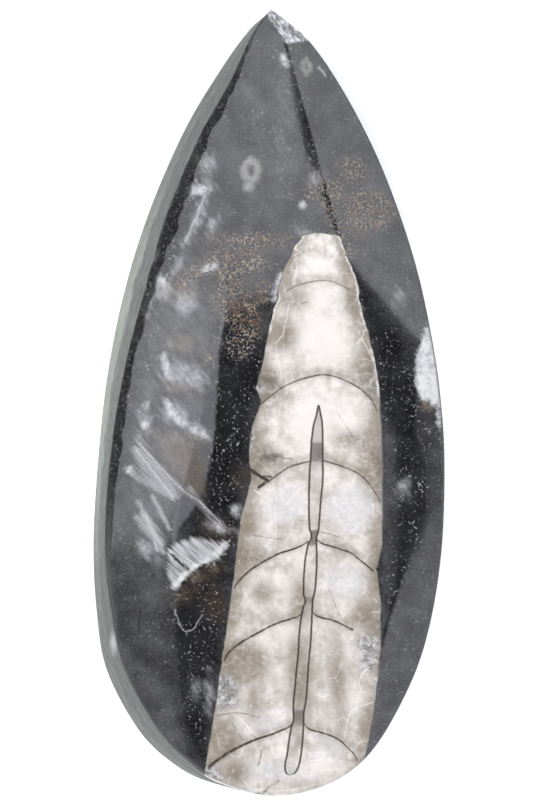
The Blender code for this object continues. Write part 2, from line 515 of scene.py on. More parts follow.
def store_values(piece: bpy.types.Object, name: str, values: np.ndarray) -> None:
    """Stores a named value on each vertex of a piece."""
    attribute = piece.data.attributes.new(name, "FLOAT", "POINT")
    attribute.data.foreach_set("value", values.astype(np.float32))


# ---------------------------------------------------------------- shader tools


class Bench:
    """A work bench for one node tree: adds nodes, feeds their sockets and hands back what they put out."""

    def __init__(self, tree: bpy.types.NodeTree) -> None:
        """Takes the node tree of a material or of a group to work on."""
        self.tree = tree

    def add(self, kind: str, feeds: dict, **settings: object) -> bpy.types.Node:
        """Adds a node.

        Args:
            kind: the node type's name after ShaderNode.
            feeds: what goes into its sockets, by socket name or number.
            settings: the node's own properties.

        Returns:
            The node.
        """
        node = self.tree.nodes.new("ShaderNode" + kind)
        for name, value in settings.items():
            setattr(node, name, value)
        for key, value in feeds.items():
            self.feed(node.inputs[key], value)
        return node

    def feed(self, socket: bpy.types.NodeSocket, value: object) -> None:
        """Links a socket to another, or sets its value.

        Args:
            socket: the input.
            value: an output socket, a number or numbers.
        """
        if isinstance(value, bpy.types.NodeSocket):
            self.tree.links.new(value, socket)
        elif socket.type == "RGBA" and len(value) == 3:
            socket.default_value = (*value, 1.0)
        else:
            socket.default_value = value

    def math(self, operation: str, *values: object, clamp: bool = False) -> bpy.types.NodeSocket:
        """Adds a Math node and returns its output."""
        return self.add("Math", dict(enumerate(values)), operation=operation, use_clamp=clamp).outputs[0]

    def vector(self, operation: str, *values: object) -> bpy.types.NodeSocket:
        """Adds a Vector Math node and returns its vector, or its value where it gives one."""
        node = self.add("VectorMath", dict(enumerate(values)), operation=operation)
        return node.outputs["Value" if operation in {"DOT_PRODUCT", "LENGTH", "DISTANCE"} else "Vector"]

    def scaled(self, vector: object, factor: object) -> bpy.types.NodeSocket:
        """Returns a vector times a number."""
        return self.add("VectorMath", {0: vector, "Scale": factor}, operation="SCALE").outputs["Vector"]

    def mix(self, share: object, under: object, over: object, blend: str = "MIX") -> bpy.types.NodeSocket:
        """Mixes two colours and returns the result."""
        feeds = {0: share, 6: under, 7: over}
        return self.add("Mix", feeds, data_type="RGBA", blend_type=blend).outputs[2]

    def times(self, *values: object) -> object:
        """Returns the product of numbers and sockets."""
        return reduce(lambda product, value: self.math("MULTIPLY", product, value), values)

    def fade(self, value: object, start: float, end: float, low: float = 0.0, high: float = 1.0) -> object:
        """Adds a soft step.

        Args:
            value: the value that is read.
            start: where the step starts.
            end: where it ends.
            low: what it gives at its start.
            high: what it gives at its end.

        Returns:
            The step's socket.
        """
        feeds = {"Value": value, "From Min": start, "From Max": end, "To Min": low, "To Max": high}
        if start > end:
            feeds |= {"From Min": end, "From Max": start, "To Min": high, "To Max": low}
        return self.add("MapRange", feeds, interpolation_type="SMOOTHSTEP").outputs[0]

    def cloud(self, place: object, scale: float, detail: float = 2.0, rough: float = 0.5) -> object:
        """Returns noise from 0 to 1, with its scale in spots per millimetre."""
        feeds = {"Vector": place, "Scale": scale, "Detail": detail, "Roughness": rough}
        return self.add("TexNoise", feeds).outputs[0]

    def streaks(self, place: object, lean: float, along: float, across: float, detail: float) -> object:
        """Returns noise from 0 to 1 that runs in streaks.

        Args:
            place: the place in millimetres.
            lean: degrees from +X to the way that the streaks run.
            along: spots per millimetre along them.
            across: spots per millimetre across them.
            detail: how many finer layers of noise are added.

        Returns:
            The noise.
        """
        feeds = {"Vector": place, "Axis": (0, 0, 1), "Angle": math.radians(-lean)}
        turned = self.add("VectorRotate", feeds, rotation_type="AXIS_ANGLE").outputs[0]
        return self.cloud(self.vector("MULTIPLY", turned, (along, across, along)), 1.0, detail, 0.6)

    def threads(self, place: object, scale: float, thin: float, gaps: float) -> bpy.types.NodeSocket:
        """Returns a mask of short curled threads.

        Args:
            place: the place in millimetres.
            scale: bends per millimetre.
            thin: how far the noise may be from its middle level inside a thread.
            gaps: level of the noise that breaks the threads up, more of them lost the higher it is.

        Returns:
            The mask.
        """
        level = self.math("ABSOLUTE", self.math("SUBTRACT", self.cloud(place, scale, 1.0), 0.5))
        kept = self.cloud(self.vector("ADD", place, (3.7, 5.3, 0.0)), 1.3 * scale, 2.0)
        return self.times(self.fade(level, thin, 0.3 * thin), self.fade(kept, gaps, gaps + 0.07))

    def layer(self, name: str) -> bpy.types.NodeSocket:
        """Returns a value that is stored on the vertices."""
        return self.add("Attribute", {}, attribute_name=name).outputs["Fac"]

    def blot(self, name: str, breakup: object, amount: float, soft: float) -> bpy.types.NodeSocket:
        """Turns a layer of spots into a mask with broken edges.

        Args:
            name: the layer's name.
            breakup: noise from 0 to 1 that breaks up the edges.
            amount: how many millimetres deep the noise bites.
            soft: half width of the edge, in millimetres.

        Returns:
            The mask.
        """
        shift = self.math("MULTIPLY_ADD", breakup, amount, -0.5 * amount)
        return self.fade(self.math("ADD", self.layer(name), shift), -soft, soft)

    def use(self, group: bpy.types.NodeTree, feeds: dict) -> bpy.types.Node:
        """Places a node group and feeds it."""
        node = self.tree.nodes.new("ShaderNodeGroup")
        node.node_tree = group
        for key, value in feeds.items():
            self.feed(node.inputs[key], value)
        return node


def new_group(name: str, ins: dict[str, str], outs: dict[str, str]) -> tuple[Bench, dict, dict]:
    """Starts a shader node group.

    Args:
        name: the group's name.
        ins: socket type of each input, by name.
        outs: socket type of each output, by name.

    Returns:
        The bench of the group, its inputs' sockets by name and its outputs' sockets by name.
    """
    tree = bpy.data.node_groups.new(name, "ShaderNodeTree")
    for names, in_out in ((ins, "INPUT"), (outs, "OUTPUT")):
        for label, kind in names.items():
            tree.interface.new_socket(name=label, in_out=in_out, socket_type="NodeSocket" + kind)
    entry, way_out = tree.nodes.new("NodeGroupInput"), tree.nodes.new("NodeGroupOutput")
    return Bench(tree), entry.outputs, way_out.inputs


def stroke_group() -> bpy.types.NodeTree:
    """Builds the group that adds one straight stroke between two places of the face to a mask."""
    ins = dict.fromkeys(("Place", "Start", "End"), "Vector")
    ins |= dict.fromkeys(("Under", "Width", "Soft"), "Float")
    bench, given, wanted = new_group("stroke", ins, {"Mask": "Float"})
    line = bench.vector("SUBTRACT", given["End"], given["Start"])
    reach = bench.vector("SUBTRACT", given["Place"], given["Start"])
    along = bench.vector("DOT_PRODUCT", reach, line)
    share = bench.math("DIVIDE", along, bench.vector("DOT_PRODUCT", line, line), clamp=True)
    distance = bench.vector("DISTANCE", reach, bench.scaled(line, share))
    beyond = bench.math("SUBTRACT", distance, bench.times(given["Width"], 0.5))
    drawn = bench.math("SUBTRACT", 1.0, bench.math("DIVIDE", beyond, given["Soft"], clamp=True))
    bench.feed(wanted["Mask"], bench.math("MAXIMUM", given["Under"], drawn))
    return bench.tree


# ---------------------------------------------------------------- strokes


@dataclass(frozen=True)
class Stroke:
    """One thin straight mark in the face, from one place to another."""

    start: tuple[float, float]
    end: tuple[float, float]
    width: float
    soft: float


def strokes(*rows: tuple) -> tuple[Stroke, ...]:
    """Turns rows of a width, a softness and some places into strokes from each place to the next."""
    return tuple(Stroke(a, b, *row[:2]) for row in rows for a, b in zip(row[2:], row[3:]))


def draw_strokes(bench: Bench, place: object, marks: tuple[Stroke, ...], group: bpy.types.NodeTree) -> object:
    """Draws strokes and joins them in one mask.

    Args:
        bench: the material's bench.
        place: the place in the face, in millimetres.
        marks: the strokes.
        group: the stroke group.

    Returns:
        The mask's socket.
    """
    mask = 0.0
    for mark in marks:
        feeds = {"Under": mask, "Place": place, "Start": (*mark.start, 0.0), "End": (*mark.end, 0.0)}
        mask = bench.use(group, feeds | {"Width": mark.width, "Soft": mark.soft}).outputs["Mask"]
    return mask


# ---------------------------------------------------------------- finishes


class Coat:
    """The colour that a finish lays on its material, layer over layer, and the noises that it uses."""

    def __init__(self, name: str, fine: tuple, broad: tuple, grit: tuple) -> None:
        """Starts the material.

        Args:
            name: the material's name.
            fine: scale, detail and roughness of the noise of middle scale.
            broad: the same of the noise of broad scale.
            grit: the same of the noise of fine scale.
        """
        self.material = bpy.data.materials.new(name)
        self.material.use_nodes = True
        self.bench = Bench(self.material.node_tree)
        self.place = self.bench.scaled(self.bench.add("TexCoord", {}).outputs["Object"], 1 / MM)
        self.flat = self.bench.vector("MULTIPLY", self.place, (1.0, 1.0, 0.0))
        self.x, self.y, self.z = self.bench.add("SeparateXYZ", {0: self.place}).outputs
        self.fine, self.broad, self.grit = (self.bench.cloud(self.place, *n) for n in (fine, broad, grit))
        self.colour: object = None

    def lay(self, colour: object, *masks: object) -> None:
        """Lays a colour over the coat where all of the masks let it through."""
        self.colour = self.bench.mix(self.bench.times(*masks), self.colour, colour)

    def shift(self, reach: float, detail: float = 2.0) -> bpy.types.NodeSocket:
        """Returns a small sideways shift that makes lines waver."""
        wave = self.bench.add("TexNoise", {"Vector": self.place, "Scale": 1.1, "Detail": detail})
        return self.bench.scaled(self.bench.vector("SUBTRACT", wave.outputs["Color"], (0.5, 0.5, 0.5)), reach)

    def finish(self, rough: object, ior: float, relief: object, bumps: tuple) -> bpy.types.Material:
        """Feeds the shader.

        Args:
            rough: how rough the polish is.
            ior: how strongly the surface bends light.
            relief: height of the fine relief, from 0 to about 1.
            bumps: strength of the relief, and how many millimetres high it is.

        Returns:
            The finished material.
        """
        shader = self.material.node_tree.nodes["Principled BSDF"]
        bump = self.bench.add("Bump", {"Strength": bumps[0], "Distance": bumps[1] * MM, "Height": relief})
        feeds = {"Base Color": self.colour, "Roughness": rough, "IOR": ior, "Normal": bump.outputs[0]}
        for name, value in feeds.items():
            self.bench.feed(shader.inputs[name], value)
        return self.material


@dataclass(frozen=True)
class LimestoneFinish:
    """Black limestone: polished face, matte grey-green wall and back, and a rough scar at the point."""

    ink: Colour = (0.003, 0.003, 0.0035)
    charcoal: Colour = (0.010, 0.0105, 0.012)
    # grey of the fine powder: the stone's grain, and partly a painted reflection where the face mirrors the
    # lamps
    dust_and_sheen: Colour = (0.10, 0.10, 0.105)
    # grey haze in the stone, partly a painted reflection of the lamps on the polished face; the chamfer's
    # scuffs use it too
    haze_and_sheen: Colour = (0.16, 0.16, 0.165)
    slate: Colour = (0.098, 0.098, 0.104)
    milk: Colour = (0.54, 0.54, 0.54)
    mist: Colour = (0.36, 0.36, 0.37)
    umber: Colour = (0.040, 0.029, 0.022)
    sand: Colour = (0.16, 0.135, 0.105)
    rust: Colour = (0.13, 0.075, 0.040)
    straw: Colour = (0.30, 0.235, 0.165)
    moss: Colour = (0.31, 0.31, 0.28)
    snow: Colour = (0.60, 0.60, 0.59)
    dull: Colour = (0.075, 0.08, 0.072)
    wall_dark: Colour = (0.031, 0.041, 0.032)
    wall_pale: Colour = (0.40, 0.43, 0.37)
    scar_dark: Colour = (0.17, 0.17, 0.175)
    scar_pale: Colour = (0.72, 0.72, 0.74)
    polish: float = 0.13

    def build(self, group: bpy.types.NodeTree) -> bpy.types.Material:
        """Builds the material.

        Args:
            group: the stroke group.

        Returns:
            The material.
        """
        coat = Coat("polished_black_limestone", (1.7, 5.0, 0.65), (0.35, 3.0, 0.55), (7.0, 3.0, 0.75))
        bench, fine, broad, grit = coat.bench, coat.fine, coat.broad, coat.grit
        # Where the polished face reflects no lamp it is painted blacker: the grey powder fades out and pale
        # crumbs stand out.
        no_reflection = bench.fade(bench.math("MULTIPLY_ADD", fine, 2.0, bench.layer("no_reflection")), 0.0, 2.0)
        coat.colour = bench.mix(bench.fade(broad, 0.3, 0.7), self.ink, self.charcoal)
        # Fine grey powder: the stone's grain, strong where the face reflects the lamps and faint where it
        # reflects none, so partly a painted reflection.
        powder_and_sheen = bench.fade(bench.math("MULTIPLY_ADD", broad, 0.5, grit), 0.62, 1.0)
        coat.lay(self.dust_and_sheen, powder_and_sheen, bench.fade(no_reflection, 0.0, 1.0, 0.55, 0.06))
        self.clouds(coat)
        self.specks(coat, no_reflection)
        self.rust_curls(coat, no_reflection)
        self.crystals(coat)
        wavy = bench.vector("ADD", coat.flat, coat.shift(0.6, 3.0))
        pale = draw_strokes(bench, wavy, LIMESTONE_MARKS["pale"], group)
        coat.lay(self.milk, pale, bench.fade(grit, 0.3, 0.7, 0.2, 0.6))
        coat.lay(self.ink, draw_strokes(bench, wavy, LIMESTONE_MARKS["dark"], group))

        wall, scar, chamfer = bench.layer("wall"), bench.layer("scar"), bench.layer("chamfer")
        scuffs = bench.fade(bench.cloud(coat.place, 3.2, 4.0, 0.8), 0.56, 0.66)
        ground = bench.mix(bench.times(scuffs, 0.8), self.ink, self.haze_and_sheen)
        ground = bench.mix(bench.fade(coat.y, -8.0, -22.0), ground, self.dull)
        ground = bench.mix(bench.fade(coat.x, 0.0, 4.0), ground, self.dust_and_sheen)
        coat.lay(ground, chamfer, 0.85)
        coat.lay(self.ground_wall(coat), wall)
        crumbs = bench.fade(bench.streaks(coat.place, -50.0, 0.9, 2.0, 4.0), 0.40, 0.66)
        coat.lay(bench.mix(crumbs, self.scar_dark, self.scar_pale), scar)

        rough = bench.fade(fine, 0.2, 0.9, self.polish - 0.03, self.polish + 0.08)
        rough = bench.math("MULTIPLY_ADD", chamfer, 0.15, rough)
        matte = bench.math("MAXIMUM", wall, scar)
        rough = bench.math("MULTIPLY_ADD", matte, 0.5, rough)
        relief = bench.times(scuffs, chamfer)
        relief = bench.math("MULTIPLY_ADD", grit, bench.fade(matte, 0.0, 1.0, 0.03, 1.0), relief)
        return coat.finish(rough, 1.56, bench.math("MULTIPLY_ADD", broad, 0.3, relief), (0.3, 0.06))

    def clouds(self, coat: Coat) -> None:
        """Lays dim clouds under the polish: brown stain, sandy shell ghosts, grey haze that is partly a
        painted reflection of the lamps, and mist.

        Args:
            coat: the coat so far.
        """
        bench, fine, grit = coat.bench, coat.fine, coat.grit
        coat.lay(self.slate, bench.blot("ghost", fine, 0.7, 0.25), bench.fade(grit, 0.2, 0.8, 0.85, 1.0))
        wisps = bench.streaks(coat.place, -52.0, 0.35, 0.9, 5.0)
        coat.lay(self.umber, bench.blot("umber", wisps, 2.4, 0.9), bench.fade(fine, 0.3, 0.7, 0.35, 0.85))
        torn = bench.fade(wisps, 0.35, 0.65, 0.25, 0.85)
        # Grey haze: partly the stone's own, partly a painted reflection where the polished face mirrors the
        # lamps.
        coat.lay(self.haze_and_sheen, bench.blot("haze_and_sheen", fine, 3.6, 1.8), torn, bench.fade(grit, 0.2, 0.8, 0.4, 0.6))
        coat.lay(self.sand, bench.blot("sand", wisps, 2.2, 0.6), bench.fade(fine, 0.3, 0.7, 0.25, 0.8), 0.7)
        silk = bench.fade(bench.streaks(coat.place, -60.0, 0.7, 2.2, 5.0), 0.35, 0.62, 0.5, 1.0)
        patchy = bench.fade(fine, 0.3, 0.6, 0.5, 1.1)
        coat.lay(self.mist, bench.blot("mist", wisps, 2.8, 0.8), silk, patchy, 0.75)

    def specks(self, coat: Coat, no_reflection: object) -> None:
        """Scatters pale crumbs of shell, many and bright where the face reflects no lamp and is painted
        blackest.

        Args:
            coat: the coat so far.
            no_reflection: how little of the lamps the polished face reflects here, painted as blacker stone.
        """
        bench, place = coat.bench, coat.place
        flock = bench.fade(bench.cloud(place, 0.4, 3.0, 0.6), 0.40, 0.62)
        crumbs = bench.fade(bench.cloud(place, 2.8, 4.0, 0.8), 0.62, 0.78, 0.0, 0.55)
        curls = bench.times(bench.threads(place, 1.8, 0.055, 0.54), 0.7)
        both = bench.times(bench.math("MAXIMUM", crumbs, curls), bench.fade(flock, 0.0, 1.0, 0.25, 1.0))
        lone = bench.fade(bench.cloud(place, 1.5, 2.0, 0.8), 0.74, 0.80)
        coat.lay(self.milk, bench.math("MAXIMUM", both, lone), bench.fade(no_reflection, 0.0, 1.0, 0.2, 0.62))

    def rust_curls(self, coat: Coat, no_reflection: object) -> None:
        """Strews rusty and straw-coloured little curls where the layer says.

        Args:
            coat: the coat so far.
            no_reflection: how little of the lamps the polished face reflects here, painted as blacker stone.
        """
        bench, place = coat.bench, coat.place
        zone = bench.blot("rust", coat.fine, 2.6, 0.8)
        hue = bench.cloud(place, 0.7, 3.0, 0.6)
        stain = bench.fade(hue, 0.45, 0.65, 0.0, 0.15)
        # The rusty stain is left out where the face reflects no lamp and is painted black.
        coat.lay(self.rust, zone, stain, bench.fade(no_reflection, 0.0, 0.8, 1.0, 0.0))
        warm = bench.mix(bench.fade(hue, 0.46, 0.54), self.straw, self.rust)
        coarse = bench.times(bench.threads(place, 1.7, 0.08, 0.43), zone)
        fewer_right = bench.fade(coat.x, 6.0, 9.0, 1.0, 0.78)
        coat.lay(warm, coarse, bench.fade(coat.grit, 0.35, 0.6, 0.35, 0.95), fewer_right)
        fringe = bench.threads(bench.vector("ADD", coat.flat, (11.0, 4.0, 0.0)), 2.4, 0.08, 0.52)
        pale = bench.mix(bench.fade(no_reflection, 0.0, 1.0), self.straw, self.mist)
        coat.lay(pale, fringe, zone, bench.fade(no_reflection, 0.0, 1.0, 0.55, 0.85))

    def crystals(self, coat: Coat) -> None:
        """Draws the white crystals, the streaky shell splinters and the greenish rings.

        Args:
            coat: the coat so far.
        """
        bench, place, fine, grit = coat.bench, coat.place, coat.fine, coat.grit
        coat.lay(self.moss, bench.blot("moss", fine, 0.9, 0.45), bench.fade(grit, 0.2, 0.7, 0.3, 0.75))
        for name, lean, across, low, strength in (
            ("splinter", -44.0, 2.2, 0.7, 0.34),
            ("feather", 138.0, 4.5, 0.3, 0.8),
        ):
            grain = bench.streaks(place, lean, 0.3, across, 4.0)
            body = bench.fade(grain, 0.3, 0.62, low, 1.0)
            coat.lay(self.milk, bench.blot(name, grain, 1.6, 0.4), body, strength)
        scratches = bench.fade(bench.streaks(place, 68.0, 0.5, 2.2, 4.0), 0.3, 0.6, 0.3, 1.0)
        grainy = bench.fade(grit, 0.2, 0.7, 0.6, 1.0)
        coat.lay(self.milk, bench.blot("milk", fine, 1.2, 0.45), scratches, grainy)
        white = bench.mix(bench.fade(bench.cloud(place, 0.9, 5.0, 0.7), 0.42, 0.66), self.snow, self.mist)
        coat.lay(white, bench.blot("snow", fine, 1.6, 0.4), 0.95)

    def ground_wall(self, coat: Coat) -> bpy.types.NodeSocket:
        """Colours the matte wall and back, paler towards the foot and greener towards the round end; the paler
        foot is partly the stone's tone and partly painted bounce light from the pale floor.

        Args:
            coat: the coat so far.

        Returns:
            The colour.
        """
        bench, place = coat.bench, coat.place
        rise = bench.math("MULTIPLY_ADD", bench.math("SUBTRACT", coat.broad, 0.5), 10.0, coat.z)
        bands = bench.cloud(bench.vector("MULTIPLY", place, (0.35, 0.35, 2.2)), 1.0, 5.0, 0.65)
        lift = bench.fade(bench.math("ABSOLUTE", bench.math("ADD", coat.y, -4.0)), 34.0, 6.0, 0.22, 0.8)
        # Pale low on the wall and dark towards the rim: partly the stone's banding, partly painted bounce
        # light from the floor.
        tone = bench.times(bench.fade(rise, 8.5, 4.5, 0.2, 1.0), bench.fade(rise, 17.0, 14.5, 0.2, 1.0), lift)
        tone = bench.math("ADD", tone, bench.fade(bands, 0.3, 0.7, -0.12, 0.2))
        mottle = bench.cloud(place, 1.1, 5.0, 0.7)
        tone = bench.math("ADD", tone, bench.fade(mottle, 0.35, 0.65, -0.07, 0.09), clamp=True)
        colour = bench.mix(tone, self.wall_dark, self.wall_pale)
        colour = bench.mix(bench.fade(coat.grit, 0.35, 0.75, 0.0, 0.35), colour, self.charcoal)
        return bench.mix(bench.times(bench.blot("lime", coat.fine, 0.8, 0.4), 0.7), colour, self.snow)


def read_curve(bench: Bench, places: tuple, value: object) -> bpy.types.NodeSocket:
    """Adds the nodes that read one coordinate of a free curve from the other.

    Args:
        bench: the material's bench.
        places: places on the curve, in millimetres.
        value: the first coordinate, in millimetres.

    Returns:
        The second coordinate, in millimetres.
    """
    places = sorted(places)
    low, high = places[0][0], places[-1][0]
    floor, roof = min(p[1] for p in places), max(p[1] for p in places)
    share = bench.math("DIVIDE", bench.math("SUBTRACT", value, low), high - low, clamp=True)
    node = bench.add("FloatCurve", {"Value": share})
    curve = node.mapping.curves[0]
    shares = [((a - low) / (high - low), (b - floor) / (roof - floor)) for a, b in places]
    curve.points[0].location, curve.points[1].location = shares[0], shares[-1]
    for place in shares[1:-1]:
        curve.points.new(*place)
    node.mapping.update()
    return bench.math("MULTIPLY_ADD", node.outputs[0], roof - floor, floor)


@dataclass(frozen=True)
class ChamberWall:
    """One thin wall between two chambers, seen as an arch across the shell."""

    arch: tuple
    width: float = 0.2
    strength: float = 1.0
    middle: float = 6.0
    radius: float = 13.0
    shade_reach: float = 1.2

    def draw(self, bench: Bench, x: object, y: object) -> tuple[object, object]:
        """Draws the wall.

        Args:
            bench: the material's bench.
            x: place across, in millimetres.
            y: place along, in millimetres.

        Returns:
            The masks of the wall and of the shaded fill beside it.
        """
        lean = bench.math("DIVIDE", bench.math("SUBTRACT", x, self.middle), self.radius)
        upright = bench.math("SQRT", bench.math("SUBTRACT", 1.0, bench.times(lean, lean), clamp=True))
        rise = bench.math("SUBTRACT", y, read_curve(bench, self.arch, x))
        distance = bench.times(bench.math("ABSOLUTE", rise), bench.math("MAXIMUM", upright, 0.5))
        line = bench.fade(distance, 0.5 * self.width + 0.09, 0.5 * self.width - 0.06)
        low, high = min(self.arch)[0], max(self.arch)[0]
        inside = bench.times(bench.fade(x, low - 0.05, low + 0.1), bench.fade(x, high + 0.05, high - 0.1))
        shade = bench.fade(bench.math("ABSOLUTE", bench.math("ADD", rise, -0.3)), self.shade_reach, 0.1)
        return bench.times(line, inside, self.strength), bench.times(shade, inside)


@dataclass(frozen=True)
class CentralTube:
    """The siphuncle: a string of narrow beads down the middle of the shell."""

    left: tuple
    right: tuple
    tone: tuple
    width: float = 0.24

    def draw(self, bench: Bench, x: object, y: object) -> tuple[object, object, object]:
        """Draws the tube.

        Args:
            bench: the material's bench.
            x: place across, in millimetres.
            y: place along, in millimetres.

        Returns:
            The masks of its outline and of its inside, and how light the fill is.
        """
        from_left = bench.math("SUBTRACT", x, read_curve(bench, self.left, y))
        from_right = bench.math("SUBTRACT", read_curve(bench, self.right, y), x)
        nearer = bench.math("MINIMUM", from_left, from_right)
        low, high = min(self.left)[0], max(self.left)[0]
        inside = bench.times(bench.fade(y, low - 0.05, low + 0.05), bench.fade(y, high + 0.05, high - 0.05))
        edge = bench.fade(bench.math("ABSOLUTE", nearer), 0.5 * self.width + 0.08, 0.5 * self.width - 0.07)
        fill = bench.times(bench.fade(nearer, -0.05, 0.1), inside)
        return bench.times(edge, inside), fill, read_curve(bench, self.tone, y)


@dataclass(frozen=True)
class CalciteFinish:
    """Calcite fill of the shell: cream and tan clouds, white cleavage, dark chamber walls and central tube."""

    cream: Colour = (0.42, 0.385, 0.34)
    chalk: Colour = (0.70, 0.655, 0.62)
    frost: Colour = (0.535, 0.53, 0.53)
    tan: Colour = (0.155, 0.125, 0.085)
    smoke: Colour = (0.085, 0.078, 0.07)
    ash: Colour = (0.20, 0.20, 0.20)
    snow: Colour = (0.74, 0.72, 0.68)
    wall_line: Colour = (0.045, 0.033, 0.028)
    polish: float = 0.16

    def build(self, group: bpy.types.NodeTree) -> bpy.types.Material:
        """Builds the material.

        Args:
            group: the stroke group.

        Returns:
            The material.
        """
        coat = Coat("polished_calcite", (1.6, 5.0, 0.62), (0.28, 4.0, 0.55), (6.0, 3.0, 0.7))
        bench, fine, grit = coat.bench, coat.fine, coat.grit
        wavy = bench.vector("ADD", coat.flat, coat.shift(0.4))
        self.clouds(coat)
        self.crystal_nests(coat)
        white = draw_strokes(bench, wavy, SHELL_MARKS["white"], group)
        coat.lay(self.snow, white, bench.fade(grit, 0.2, 0.7, 0.2, 0.6))
        cracks = draw_strokes(bench, wavy, SHELL_MARKS["dark"], group)
        coat.lay(self.smoke, cracks, bench.fade(fine, 0.3, 0.65, 0.2, 0.75))
        self.growth_lines(coat)
        coat.lay(self.wall_line, draw_strokes(bench, wavy, SHELL_MARKS["gap"], group))
        rough = bench.fade(fine, 0.2, 0.9, self.polish - 0.03, self.polish + 0.1)
        return coat.finish(rough, 1.5, bench.math("ADD", fine, grit), (0.2, 0.05))

    def clouds(self, coat: Coat) -> None:
        """Colours the body: cream and chalk, browner towards its edges and in its stained spots.

        Args:
            coat: the coat so far.
        """
        bench, place, fine, grit = coat.bench, coat.place, coat.fine, coat.grit
        fibre = bench.streaks(place, 92.0, 0.2, 1.1, 4.0)
        mottle = bench.cloud(place, 0.75, 5.0, 0.62)
        body = bench.fade(mottle, 0.35, 0.65, -0.15, 0.35)
        body = bench.math("ADD", bench.fade(coat.broad, 0.36, 0.64, 0.0, 0.6), body)
        body = bench.math("ADD", body, bench.fade(fibre, 0.3, 0.7, -0.12, 0.12), clamp=True)
        coat.colour = bench.mix(body, self.cream, self.chalk)
        coat.lay(self.chalk, bench.blot("chalk", mottle, 2.2, 1.5), 0.85)
        coat.lay(self.frost, bench.blot("frost", fine, 3.4, 1.4), bench.fade(fine, 0.3, 0.65, 0.25, 0.9))
        margin = bench.math("MULTIPLY_ADD", mottle, 4.0, bench.layer("edge"))
        coat.lay(self.tan, bench.fade(margin, 4.4, 1.8, 0.0, 0.62))
        low = bench.fade(coat.y, -4.0, -18.0, 0.0, 0.11)
        coat.lay(self.tan, low, bench.fade(mottle, 0.4, 0.62, 1.2, 0.6))
        coat.lay(self.tan, bench.blot("tan", mottle, 2.2, 1.0), bench.fade(fine, 0.25, 0.7, 0.45, 0.8))
        coat.lay(self.smoke, bench.blot("smoke", fine, 2.0, 0.7), bench.fade(grit, 0.3, 0.7, 0.35, 0.75))
        coat.lay(self.tan, bench.fade(grit, 0.5, 0.85, 0.0, 0.2))
        feeds = {"Vector": bench.vector("ADD", place, coat.shift(0.5)), "Scale": 0.3}
        cleavage = bench.add("TexVoronoi", feeds, feature="DISTANCE_TO_EDGE").outputs[0]
        coat.lay(self.snow, bench.fade(cleavage, 0.022, 0.004), bench.fade(mottle, 0.45, 0.6, 0.0, 0.4))

    def crystal_nests(self, coat: Coat) -> None:
        """Sets nests of small clear and white crystals with dark gaps between them.

        Args:
            coat: the coat so far.
        """
        bench, place = coat.bench, coat.place
        grains = bench.add("TexVoronoi", {"Vector": place, "Scale": 1.8})
        pick = bench.add("SeparateColor", {0: grains.outputs["Color"]}).outputs[0]
        gaps = bench.fade(bench.cloud(place, 1.5, 4.0, 0.7), 0.46, 0.6)
        tone = bench.mix(bench.fade(pick, 0.1, 1.0), self.ash, self.frost)
        tone = bench.mix(bench.times(gaps, 0.8), tone, self.smoke)
        tone = bench.mix(bench.times(bench.threads(place, 1.5, 0.04, 0.52), 0.5), tone, self.snow)
        coat.lay(tone, bench.blot("crystal", coat.grit, 2.4, 0.6), 0.8)

    def growth_lines(self, coat: Coat) -> None:
        """Draws the chamber walls, the shading beside them, the central tube and the dark rim.

        Args:
            coat: the coat so far.
        """
        bench, fine, grit = coat.bench, coat.fine, coat.grit
        wavering = bench.vector("ADD", coat.flat, coat.shift(0.07))
        x, y, _ = bench.add("SeparateXYZ", {0: wavering}).outputs
        lines, shade = 0.0, 0.0
        for wall in CHAMBER_WALLS:
            line, beside = wall.draw(bench, x, y)
            lines, shade = bench.math("MAXIMUM", lines, line), bench.math("MAXIMUM", shade, beside)
        coat.lay(self.tan, shade, bench.fade(fine, 0.3, 0.65, 0.15, 0.45))
        coat.lay(self.wall_line, lines, bench.fade(fine, 0.3, 0.55, 0.68, 1.0))
        edge, inside, tone = TUBE.draw(bench, x, y)
        depth = bench.math("SUBTRACT", bench.fade(grit, 0.2, 0.8, 0.8, 1.1), tone, clamp=True)
        coat.lay(self.smoke, inside, depth)
        coat.lay(self.wall_line, edge, bench.fade(grit, 0.15, 0.6, 0.7, 1.0))
        rim = bench.blot("rim", fine, 1.2, 0.3)
        margin = bench.math("MULTIPLY_ADD", grit, 0.3, bench.layer("edge"))
        coat.lay(self.wall_line, bench.fade(margin, 0.3, 0.12, 0.0, 0.5), bench.math("SUBTRACT", 1.0, rim))
        crest = bench.math("MULTIPLY_ADD", grit, 0.7, bench.layer("edge"))
        coat.lay(self.chalk, rim, bench.fade(crest, 0.75, 0.45), bench.fade(fine, 0.35, 0.6, 0.15, 0.75))


# ---------------------------------------------------------------- marks

